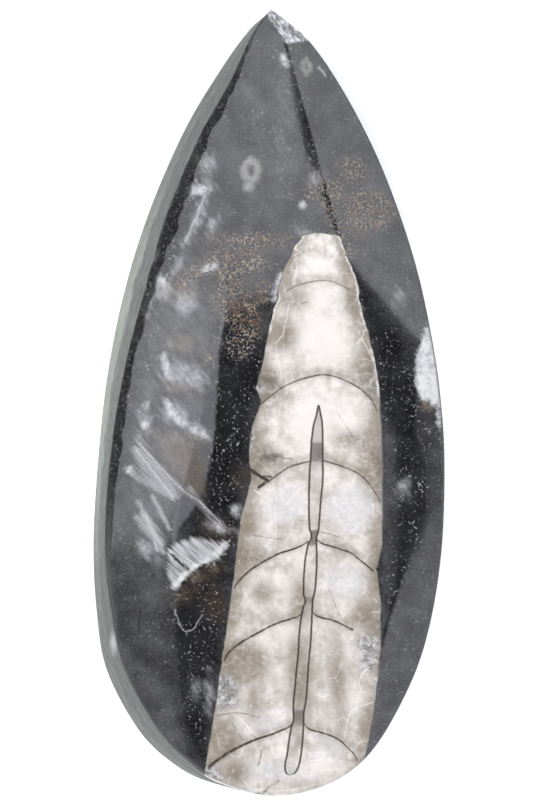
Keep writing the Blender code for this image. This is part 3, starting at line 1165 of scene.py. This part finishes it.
# Layers are drawn on the grid: a patch is column, row, half width, half height and turn.
LIMESTONE_LAYERS = {
    # parts of the polished face that reflect no lamp, which the finish paints blacker
    "no_reflection": (
        Area((
            (225, 318), (262, 335), (262, 380), (250, 405), (243, 470), (236, 520), (228, 570), (222, 620),
            (212, 690), (205, 745), (190, 720), (175, 640), (172, 590), (190, 540), (205, 500), (210, 440),
            (216, 380),
        )),
        Area((
            (335, 240), (352, 270), (368, 300), (395, 340), (416, 390), (428, 440), (430, 480), (424, 530),
            (406, 580), (385, 608), (380, 590), (392, 540), (397, 490), (392, 440), (382, 400), (374, 340),
            (352, 290),
        )),
        *patches((222, 100, 8, 50, -32), (180, 230, 9, 70, -20), (140, 380, 9, 90, -12)),
        Trail(((288, 50), (292, 90), (302, 130), (314, 170), (330, 215), (344, 255)), 4),
    ),
    "ghost": (
        Area((
            (226, 318), (220, 350), (218, 390), (216, 420), (214, 445), (209, 470), (202, 495), (192, 510),
            (180, 528), (175, 545), (173, 530), (179, 505), (186, 480), (192, 455), (199, 425), (206, 400),
            (213, 375), (218, 350), (222, 325),
        )),
    ),
    # grey haze, placed mostly where the polished face reflects the lamps: partly a painted reflection
    "haze_and_sheen": (
        Area((
            (158, 285), (200, 268), (214, 320), (206, 395), (192, 440), (178, 500), (168, 545), (145, 540),
            (130, 480), (132, 400), (146, 330),
        )),
        *patches(
            (251, 172, 10, 13), (246, 96, 5, 5), (190, 332, 14, 18), (397, 299, 4, 7), (401, 486, 3, 4),
            (197, 686, 3, 5), (210, 690, 3, 9), (314, 183, 6, 7), (150, 550, 12, 10), (162, 570, 6, 30),
            (285, 120, 12, 60, -5), (282, 64, 6, 9),
        ),
    ),
    "mist": (
        *patches(
            (208, 166, 6, 9), (196, 162, 5, 5), (201, 192, 11, 6), (165, 290, 6, 8), (186, 376, 20, 9, -18),
            (166, 364, 4, 9, -10), (176, 412, 8, 15, 30), (198, 430, 12, 5, -25), (147, 423, 5, 7),
            (214, 228, 3, 5, -30), (314, 183, 5, 5), (306, 236, 4, 2, -20), (219, 525, 7, 4, -30),
            (237, 510, 6, 6), (235, 529, 6, 3), (150, 548, 9, 6, -30), (197, 686, 2.5, 4), (210, 690, 2, 8),
            (186, 305, 8, 10), (396, 298, 3, 5), (402, 487, 3, 5),
        ),
        Trail(((207, 197), (199, 222), (187, 245)), 2.6),
        Trail(((160, 280), (152, 298), (147, 312)), 3.5),
        Trail(((181, 262), (172, 280)), 2),
    ),
    "milk": (
        *patches(
            (200, 193, 8, 3.5), (146, 425, 3, 3), (302, 208, 3, 3), (220, 526, 4, 2, -30), (162, 283, 5, 4),
            (283, 62, 2.6, 3.2), (286, 68, 3, 2.6), (131, 469, 3.5, 2.6), (204, 434, 3.5, 3),
            (196, 428, 3, 3), (236, 508, 3, 2), (148, 405, 2.5, 3),
        ),
        Trail(((165, 356), (167, 366), (170, 376)), 2.4),
        Trail(((168, 402), (173, 413), (184, 423)), 2.4),
        Trail(((280, 277), (276, 290), (275, 300)), 2),
        Trail(((159, 253), (155, 262)), 2.6),
        Trail(((206, 272), (215, 268)), 2.6),
    ),
    "snow": (
        Area((
            (430, 318), (424, 330), (418, 345), (414, 360), (414, 385), (419, 398), (428, 402), (436, 408),
            (445, 412), (446, 380), (440, 340),
        )),
        Patch(437, 416, 2, 7),
        Trail(((176, 583), (183, 574), (194, 565), (206, 557), (219, 550), (225, 543)), 2.2),
    ),
    "splinter": (
        Area((
            (133, 449), (142, 446), (160, 464), (175, 483), (180, 496), (172, 500), (158, 486), (143, 470),
        )),
        Trail(((131, 469), (142, 478), (168, 493)), 3),
        Trail(((190, 487), (212, 514), (222, 524)), 1.6),
        Trail(((139, 437), (160, 464), (185, 489), (205, 502)), 1.1),
        Area(((135, 515), (150, 512), (168, 540), (158, 548))),
    ),
    "feather": (
        Area((
            (169, 549), (181, 540), (197, 536), (215, 539), (228, 541), (224, 550), (219, 556), (200, 562),
            (190, 570), (182, 578), (176, 586), (170, 574),
        )),
    ),
    "umber": (
        Area((
            (150, 430), (172, 424), (188, 432), (200, 455), (206, 485), (208, 503), (190, 492), (170, 474),
            (152, 450),
        )),
        Area((
            (176, 600), (177, 590), (190, 574), (206, 562), (224, 555), (225, 566), (208, 580), (192, 598),
        )),
        *patches(
            (184, 345, 15, 14), (180, 388, 14, 9), (218, 528, 18, 14, -30), (242, 478, 10, 14),
            (215, 600, 12, 20),
        ),
    ),
    "sand": (
        Area(((160, 436), (184, 436), (196, 460), (204, 492), (186, 482), (166, 460))),
        Area(((190, 432), (204, 440), (206, 470), (198, 495), (186, 490), (184, 470))),
        *patches(
            (183, 345, 11, 9), (178, 388, 10, 5), (196, 572, 6, 5, -35), (213, 563, 7, 3, -15),
            (219, 525, 9, 5, -30), (424, 405, 5, 4), (185, 296, 11, 8), (178, 595, 4, 8),
        ),
    ),
    "rust": (
        *patches(
            (250, 243, 34, 7), (240, 262, 26, 15), (225, 272, 14, 10), (232, 300, 19, 24), (248, 322, 15, 22),
            (263, 292, 9, 12), (210, 358, 4, 7), (240, 345, 12, 14), (352, 173, 14, 12, -25),
            (366, 212, 24, 20, -15), (332, 196, 11, 15, 20), (356, 226, 12, 13), (310, 195, 6, 6),
            (392, 212, 6, 8), (424, 405, 5, 5),
        ),
        Trail(((215, 262), (198, 272), (182, 288)), 7),
        Trail(((316, 178), (324, 198), (338, 235), (347, 258)), 5),
    ),
    "lime": patches((115, 641, 3, 9)),
    "moss": (
        Trail((
            (251, 163), (256, 167), (258, 173), (256, 180), (251, 183), (246, 180), (244, 173), (246, 167),
            (251, 163),
        ), 3.2),
        Patch(249, 189, 5, 5),
        Trail((
            (306, 64), (309, 68), (309, 74), (306, 78), (303, 73), (303, 68), (306, 64),
        ), 1.6),
    ),
}

SHELL_LAYERS = {
    "tan": patches(
        (363, 366, 13, 16), (350, 438, 14, 8), (288, 272, 6, 13), (299, 244, 4, 6), (262, 590, 10, 10),
        (262, 455, 16, 13), (368, 456, 12, 34), (248, 552, 16, 12), (364, 613, 14, 14), (246, 660, 24, 22),
        (337, 672, 7, 42, 3), (254, 692, 6, 18), (226, 735, 14, 18), (236, 768, 14, 12), (294, 302, 12, 10),
        (352, 305, 10, 14), (290, 262, 7, 14), (346, 270, 6, 12), (285, 337, 10, 14), (266, 378, 13, 12),
        (368, 720, 10, 22), (375, 560, 6, 30), (300, 600, 10, 24), (300, 670, 12, 40), (252, 430, 6, 30),
        (250, 520, 8, 14),
    ),
    "smoke": patches(
        (272, 383, 9, 6, -30), (262, 377, 8, 3, -30), (268, 396, 12, 3), (372, 390, 6, 14), (379, 626, 4, 14),
        (272, 458, 10, 4), (253, 472, 9, 6), (365, 382, 9, 6), (210, 766, 6, 8), (378, 470, 4, 20),
        (379, 655, 3, 24),
    ),
    "chalk": patches(
        (318, 268, 17, 14), (322, 302, 16, 12), (322, 340, 24, 30), (278, 506, 8, 8), (312, 418, 22, 30),
        (345, 420, 14, 20), (290, 500, 14, 18), (349, 505, 18, 26), (290, 590, 8, 14), (345, 575, 16, 14),
        (361, 690, 12, 14), (300, 560, 8, 20), (300, 245, 10, 6), (292, 625, 24, 10), (265, 640, 14, 10),
        (310, 760, 30, 10),
    ),
    "frost": patches(
        (350, 508, 22, 22), (285, 505, 16, 16), (345, 580, 18, 16), (265, 720, 20, 8), (330, 740, 14, 10),
        (280, 765, 20, 10),
    ),
    "rim": (
        Trail(((341, 243), (350, 262), (356, 285), (359, 305), (364, 325)), 8),
        Trail(((298, 248), (304, 240), (320, 236), (335, 240)), 5),
        Trail(((370, 352), (376, 372), (378, 392)), 4),
        Trail(((278, 300), (270, 330)), 3),
    ),
    "crystal": (
        Area(((354, 634), (366, 630), (378, 636), (379, 655), (370, 668), (358, 666), (360, 648))),
        Area(((217, 672), (228, 670), (240, 684), (238, 700), (222, 706), (214, 694))),
        *patches((213, 768, 9, 6, -20), (252, 432, 3, 14), (258, 388, 6, 6)),
    ),
}

# Strokes are drawn in millimetres: a row is width, softness and the places that it joins.
LIMESTONE_MARKS = {
    "pale": strokes(
        (0.07, 0.1, (-16.6, -4.8), (-13.8, -8.0), (-10.6, -11.2), (-8.1, -12.9), (-5.5, -15.7)),
        (0.05, 0.2, (-16.9, -5.6), (-12.0, -11.9)),
        (0.05, 0.25, (-8.1, 25.9), (-9.1, 23.2), (-10.4, 20.4)),
        (0.03, 0.14, (-11.8, -25.9), (-11.3, -27.8), (-10.4, -28.9), (-9.3, -28.5), (-8.3, -26.8)),
        (0.02, 0.5, (-16.4, -12.5), (-13.2, -18.9)),
        (0.02, 0.4, (-14.6, -11.8), (-12.4, -16.0)),
        (0.1, 0.1, (-14.4, -17.6), (-13.9, -18.8)),
        (0.08, 0.1, (-13.8, -18.8), (-13.2, -17.9)),
        (0.06, 0.25, (6.5, 42.4), (7.3, 41.4)),
    ),
    "dark": strokes(
        (0.08, 0.08, (-8.2, 16.2), (-6.6, 17.0)),
        (0.06, 0.18, (-16.1, -25.9), (-16.3, -29.2)),
        (0.08, 0.2, (4.4, 35.6), (4.7, 33.0), (4.8, 30.3)),
        (0.02, 0.3, (-12.2, -19.2), (-10.0, -21.0)),
    ),
}

SHELL_MARKS = {
    "white": strokes(
        (0.06, 0.09, (2.7, 12.5), (1.9, 8.6), (0.9, 7.4), (1.3, 5.4), (1.8, 2.9)),
        (0.08, 0.1, (-1.7, -11.1), (0.6, -12.3)),
        (0.06, 0.1, (2.2, -12.9), (4.1, -10.8)),
        (0.05, 0.1, (0.5, -10.0), (1.1, -12.4)),
        (0.06, 0.09, (12.4, 9.3), (11.3, 7.4)),
        (0.06, 0.09, (11.9, 8.0), (13.3, 5.2)),
        (0.06, 0.1, (1.0, -13.1), (1.0, -17.8)),
        (0.08, 0.09, (13.2, -37.8), (10.5, -38.8), (9.9, -40.6), (9.6, -42.6)),
        (0.08, 0.12, (-3.6, -39.7), (-1.3, -42.2)),
        (0.1, 0.1, (5.4, -45.2), (7.3, -44.9)),
        (0.3, 0.25, (3.6, 18.0), (4.8, 18.5), (6.2, 19.0), (7.0, 19.3)),
        (0.12, 0.2, (3.6, 18.0), (3.6, 16.7), (3.2, 15.0)),
        (0.1, 0.15, (7.0, 19.3), (6.8, 20.3)),
        (0.1, 0.12, (12.6, -33.4), (11.4, -35.0), (11.8, -36.6)),
    ),
    "dark": strokes(
        (0.06, 0.08, (-2.0, -16.7), (1.8, -17.3)),
        (0.05, 0.08, (0.5, -6.9), (3.2, -7.1)),
        (0.03, 0.08, (8.6, -1.0), (10.8, -4.5)),
        (0.05, 0.08, (6.7, -16.3), (8.0, -16.6), (9.6, -17.3)),
        (0.04, 0.07, (3.8, -14.8), (4.9, -15.0)),
        (0.04, 0.08, (7.7, -23.5), (9.2, -27.2)),
        (0.05, 0.08, (4.1, 12.5), (5.1, 12.7)),
        (0.1, 0.5, (-0.8, -6.9), (1.6, -6.7)),
        (0.08, 0.1, (-6.4, -39.4), (-4.9, -39.1), (-2.6, -39.3), (-1.0, -39.7)),
        (0.06, 0.1, (-4.6, -40.4), (-3.9, -41.4), (-3.2, -42.6)),
        (0.12, 0.2, (1.3, -47.7), (-0.8, -49.3), (-2.9, -49.6)),
        (0.16, 0.2, (14.4, -25.5), (14.7, -29.8)),
        (0.08, 0.16, (-0.8, -43.8), (-0.9, -44.8), (-1.4, -45.8)),
        (0.16, 0.2, (-6.6, -36.8), (-7.1, -39.2)),
    ),
    "gap": strokes(
        (0.34, 0.14, (-2.5, -8.3), (-1.2, -9.2), (-0.1, -9.8)),
        (0.12, 0.12, (-0.1, -9.8), (-1.3, -10.7)),
        (0.05, 0.15, (0.4, -9.4), (-0.6, -9.3)),
    ),
}

CHAMBER_WALLS = (
    ChamberWall(((3.4, 16.9), (3.9, 17.9), (4.8, 18.6), (6.2, 18.9), (7.4, 18.5)), 0.12, 0.0),
    ChamberWall((
        (2.3, 14.0), (3.1, 14.5), (4.1, 14.9), (5.4, 15.2), (6.7, 15.4), (7.9, 15.3), (9.2, 14.8),
        (10.3, 14.2),
    ), 0.16, 0.6),
    ChamberWall((
        (-1.5, -0.7), (-0.8, -0.1), (0.3, 0.8), (1.5, 1.7), (2.8, 2.4), (4.1, 2.9), (5.4, 3.25), (6.7, 3.5),
        (7.9, 3.4), (9.2, 3.0), (10.5, 2.4), (11.8, 1.6), (12.8, 0.6), (13.8, -1.2),
    ), 0.18, 0.85),
    ChamberWall((
        (-1.3, -10.8), (-0.4, -10.3), (0.4, -9.7), (1.5, -8.9), (2.8, -8.1), (4.1, -7.7), (5.4, -7.4),
    ), 0.17, 0.9),
    ChamberWall((
        (6.9, -7.3), (7.9, -7.6), (9.2, -8.0), (10.5, -8.5), (11.8, -9.3), (12.7, -10.2), (13.4, -11.2),
        (14.2, -12.5),
    ), 0.17, 0.9),
    ChamberWall((
        (-4.3, -23.4), (-3.4, -22.2), (-2.3, -21.2), (-1.0, -20.3), (0.3, -19.6), (1.5, -19.0), (2.8, -18.6),
        (4.1, -18.1), (5.1, -17.5),
    )),
    ChamberWall((
        (6.1, -17.2), (6.7, -17.7), (7.9, -18.1), (9.2, -18.5), (10.5, -19.0), (11.5, -19.8), (12.4, -20.5),
        (13.3, -21.3),
    ), 0.19),
    ChamberWall((
        (-5.6, -32.6), (-4.9, -31.5), (-3.6, -30.4), (-2.3, -29.6), (-1.0, -28.9), (0.3, -28.2), (1.5, -27.7),
        (2.8, -27.3), (3.9, -26.9), (4.4, -26.3),
    )),
    ChamberWall((
        (5.6, -26.2), (6.0, -26.8), (6.7, -27.1), (7.9, -27.4), (9.2, -27.9), (10.1, -28.4), (10.8, -28.7),
    )),
    ChamberWall((
        (-7.6, -46.2), (-6.8, -45.4), (-6.1, -44.9), (-4.9, -44.1), (-3.6, -43.4), (-2.3, -42.8),
        (-1.0, -42.3), (0.3, -41.9), (1.5, -41.4), (2.5, -41.0), (3.1, -40.4),
    ), 0.22),
    ChamberWall((
        (4.5, -40.2), (5.1, -41.1), (6.7, -41.6), (7.9, -42.0), (9.2, -42.7), (10.1, -43.6), (10.8, -44.3),
        (11.3, -45.2),
    )),
)

TUBE = CentralTube(
    left=(
        (-0.3, 6.35), (-1.6, 6.1), (-2.9, 5.75), (-4.8, 5.5), (-7.4, 5.35), (-8.6, 5.25), (-16.0, 5.25),
        (-16.7, 5.45), (-17.6, 5.15), (-18.9, 4.85), (-20.8, 4.6), (-24.2, 4.5), (-25.0, 4.7), (-25.5, 4.55),
        (-26.8, 4.25), (-29.1, 3.95), (-31.7, 3.8), (-33.6, 3.6), (-35.5, 3.45), (-38.8, 3.2), (-39.6, 3.25),
        (-40.9, 2.95), (-42.6, 2.65), (-44.5, 2.4), (-46.0, 2.15), (-46.7, 2.3), (-47.0, 2.7),
    ),
    right=(
        (-0.3, 6.4), (-1.6, 6.65), (-2.9, 6.85), (-7.4, 6.9), (-9.9, 6.9), (-11.8, 6.7), (-13.8, 6.55),
        (-16.2, 6.35), (-16.9, 6.15), (-17.6, 6.1), (-18.9, 6.15), (-21.4, 6.1), (-23.4, 5.95), (-24.9, 5.65),
        (-25.5, 5.6), (-27.8, 5.5), (-30.4, 5.35), (-33.0, 5.1), (-35.5, 4.95), (-37.4, 4.8), (-39.4, 4.5),
        (-41.3, 4.45), (-43.2, 4.3), (-45.1, 4.05), (-46.4, 3.6), (-46.9, 3.1), (-47.0, 2.75),
    ),
    tone=(
        (0.0, 0.3), (-2.0, 0.5), (-4.8, 0.55), (-5.2, 0.15), (-7.0, 0.15), (-7.6, 0.55), (-9.5, 0.75),
        (-15.8, 0.85), (-16.3, 0.1), (-17.7, 0.1), (-18.3, 0.85), (-24.2, 0.9), (-24.8, 0.35), (-25.5, 0.85),
        (-38.6, 0.9), (-39.0, 0.2), (-40.4, 0.3), (-41.2, 0.6), (-43.5, 0.7), (-45.0, 0.85), (-46.5, 0.75),
        (-47.1, 0.3),
    ),
)


# ---------------------------------------------------------------- the specimen


@dataclass
class Specimen:
    """The fossil: the stone, the shell in its face, and their finishes."""

    stone_form: StoneForm = StoneForm()
    shell_form: ShellForm = ShellForm()
    outline_steps: int = 22
    face_rings: int = 80
    section_spacing: float = 0.4
    smooth_angle: float = 28.0
    edge_reach: float = 3.0
    chip_margin: float = 0.05
    # how far up a surface looks: where face turns to wall, wall to chamfer, and chamfer to face
    to_wall: tuple[float, float] = (0.68, 0.48)
    to_chamfer: tuple[float, float] = (0.6, 0.7)
    from_chamfer: tuple[float, float] = (0.9, 0.84)

    def model(self) -> tuple[bpy.types.Object, bpy.types.Object]:
        """Models both pieces.

        Returns:
            The limestone and the shell.
        """
        stone = loft("polished_limestone", self.stone_form.rings(self.outline_steps, self.face_rings))
        close_skin(stone, cap_end=False)
        shell = loft("calcite_shell", self.shell_form.sections(self.section_spacing))
        close_skin(shell, cap_end=True)
        groove = shell.copy()
        groove.data = shell.data.copy()
        bpy.context.scene.collection.objects.link(groove)
        apply_boolean(shell, Cut.SHARED, stone)
        apply_boolean(stone, Cut.REST, groove)
        bpy.data.objects.remove(groove)
        return stone, shell

    def store_surfaces(self, stone: bpy.types.Object) -> None:
        """Stores where the stone is wall, where it is the chamfer beside it, and where its corner is broken.

        Args:
            stone: the limestone.
        """
        places = vertex_places(stone)
        normals = np.empty(len(places) * 3)
        stone.data.vertex_normals.foreach_get("vector", normals)
        up = normals.reshape(-1, 3)[:, 2]
        form = self.stone_form
        store_values(stone, "wall", ramp(up, *self.to_wall))
        store_values(stone, "chamfer", ramp(up, *self.to_chamfer) * ramp(up, *self.from_chamfer))
        buried = [form.ground_height(x, y) - form.chip_height(x, y) for x, y, _ in places]
        store_values(stone, "scar", np.array(buried) > -self.chip_margin)

    def store_edge(self, shell: bpy.types.Object) -> None:
        """Stores how far inside the shell's edges each place is.

        Args:
            shell: the shell.
        """
        form = self.shell_form
        gaps = []
        for x, y, _ in vertex_places(shell):
            left, right = form.edge_x(form.left_edge, y), form.edge_x(form.right_edge, y)
            gaps.append(min(x - left, right - x, self.edge_reach))
        store_values(shell, "edge", np.array(gaps))

    def dress(self, stone: bpy.types.Object, shell: bpy.types.Object) -> None:
        """Gives both pieces their layers and their finish.

        Args:
            stone: the limestone.
            shell: the shell.
        """
        self.store_surfaces(stone)
        self.store_edge(shell)
        paint_layers(stone, LIMESTONE_LAYERS)
        paint_layers(shell, SHELL_LAYERS)
        stroke = stroke_group()
        for piece, finish in ((stone, LimestoneFinish()), (shell, CalciteFinish())):
            piece.data.materials.clear()
            piece.data.materials.append(finish.build(stroke))
            make_active(piece)
            bpy.ops.object.shade_smooth_by_angle(angle=math.radians(self.smooth_angle))

    def build(self) -> None:
        """Models, dresses and places both pieces."""
        stone, shell = self.model()
        self.dress(stone, shell)
        for piece, node, slot in (
            (stone, "limestone_matrix", "black_limestone"),
            (shell, "orthoceras_shell", "shell_calcite"),
        ):
            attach(piece, "root")
            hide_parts(node)
            LOG.info("%s: %d faces", piece.name, len(piece.data.polygons))


# ---------------------------------------------------------------- studio


@dataclass(frozen=True)
class SoftBox:
    """One rectangular lamp that hangs level and shines down, given by two opposite corners."""

    name: str
    low: tuple[float, float]
    high: tuple[float, float]
    glow: float

    def hang(self, height: float, colour: Colour) -> None:
        """Adds the lamp, with its power worked out from how bright its face looks.

        Args:
            height: metres above the floor.
            colour: the lamp's colour.
        """
        middle = [(a + b) / 2 for a, b in zip(self.low, self.high)]
        size = [b - a for a, b in zip(self.low, self.high)]
        bpy.ops.object.light_add(type="AREA", location=(*middle, height))
        lamp = bpy.context.object
        lamp.name = lamp.data.name = self.name
        lamp.data.shape = "RECTANGLE"
        lamp.data.size, lamp.data.size_y = size
        lamp.data.color = colour
        lamp.data.energy = self.glow * math.pi * size[0] * size[1]
        lamp.visible_camera = False


@dataclass(frozen=True)
class Studio:
    """Pale floor, level soft boxes with dark gaps between them, and a long lens that looks straight down."""

    floor_size: float = 6.0
    floor_paint: float = 1.0
    floor_rough: float = 0.9
    floor_glow: float = 0.12
    lamp_height: float = 0.9
    room_glow: float = 0.10
    lens_distance: float = 1.2
    sensor: float = 36.0
    frame_height: float = 0.1024
    aim: tuple[float, float] = (-0.19, 0.32)
    boxes: tuple[SoftBox, ...] = (
        SoftBox("upper_box", (-1.1, 0.12), (0.165, 1.1), 2.65),
        SoftBox("left_strip", (-1.3, 0.0), (-0.22, 0.12), 2.65),
        SoftBox("low_left_inner", (-0.42, -0.9), (-0.22, -0.01), 0.4),
        SoftBox("low_left_upper", (-1.3, -0.08), (-0.42, -0.01), 0.4),
        SoftBox("low_left_outer", (-1.3, -0.9), (-0.42, -0.08), 1.15),
        SoftBox("right_upper", (0.40, 0.26), (1.3, 0.9), 2.5),
        SoftBox("right_middle", (0.42, -0.08), (1.3, 0.26), 0.6),
        SoftBox("right_lower", (0.38, -0.9), (1.3, -0.08), 1.7),
        SoftBox("right_strip", (0.15, -0.4), (0.23, 0.05), 1.2),
        SoftBox("front_box", (-0.4, -1.5), (0.5, -0.5), 6.0),
        SoftBox("back_box", (-0.4, 1.2), (0.6, 2.1), 5.0),
    )
    daylight: Colour = (0.98, 0.99, 1.045)

    def build(self) -> None:
        """Sets up the floor, the lamps, the dim room and the camera."""
        bpy.ops.mesh.primitive_plane_add(size=self.floor_size)
        floor = bpy.context.object
        floor.name = "floor"
        material = bpy.data.materials.new("pale_floor")
        material.use_nodes = True
        shader = material.node_tree.nodes["Principled BSDF"]
        shader.inputs["Base Color"].default_value = (self.floor_paint,) * 3 + (1.0,)
        shader.inputs["Roughness"].default_value = self.floor_rough
        shader.inputs["Specular IOR Level"].default_value = 0.0
        shader.inputs["Emission Color"].default_value = (1.0, 1.0, 1.0, 1.0)
        shader.inputs["Emission Strength"].default_value = self.floor_glow
        floor.data.materials.append(material)
        for box in self.boxes:
            box.hang(self.lamp_height, self.daylight)
        world = bpy.data.worlds.new("dim_room")
        world.use_nodes = True
        world.node_tree.nodes["Background"].inputs["Color"].default_value = (self.room_glow,) * 3 + (1.0,)
        bpy.context.scene.world = world
        bpy.context.scene.view_settings.view_transform = "Standard"
        bpy.ops.object.camera_add(location=(self.aim[0] * MM, self.aim[1] * MM, self.lens_distance))
        camera = bpy.context.object
        camera.data.sensor_width = self.sensor
        camera.data.lens = self.sensor * self.lens_distance / self.frame_height
        bpy.context.scene.camera = camera


def main() -> None:
    """Builds the specimen and the studio."""
    logging.basicConfig(level=logging.INFO)
    Specimen().build()
    Studio().build()


if __name__ == "__main__":
    main()
